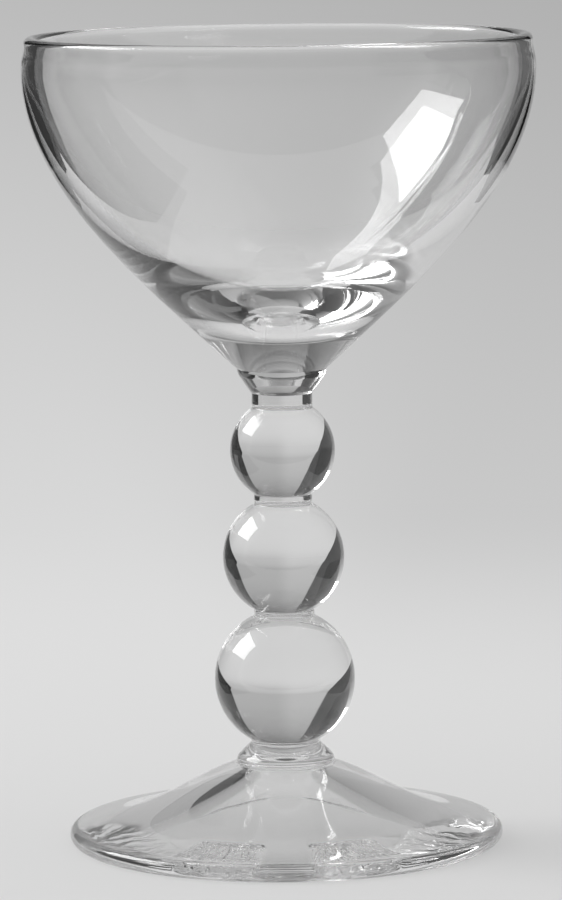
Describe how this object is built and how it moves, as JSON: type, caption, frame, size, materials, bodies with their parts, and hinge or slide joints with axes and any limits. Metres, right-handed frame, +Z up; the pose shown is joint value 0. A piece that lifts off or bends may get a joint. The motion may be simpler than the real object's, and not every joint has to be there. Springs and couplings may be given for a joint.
{
  "type": "nick and nora glass",
  "caption": "Small clear cocktail glass with a round, thick-based bowl, a stem of graduated solid balls and a low, hollow foot.",
  "frame": {"origin": "middle of the foot, on the surface that the glass stands on", "axes": "+Z up along the axis of the stem and the bowl"},
  "size_m": [0.085, 0.085, 0.135],
  "materials": {
    "foot_glass": "fire-polished clear",
    "stem_glass": "fire-polished clear",
    "bowl_glass": "fire-polished clear"
  },
  "bodies": {
    "root": {"foot": "foot_glass", "foot_collar": "stem_glass", "lower_ball": "stem_glass", "middle_ball": "stem_glass", "upper_ball": "stem_glass", "bowl_collar": "stem_glass", "bowl": "bowl_glass"}
  },
  "joints": []
}
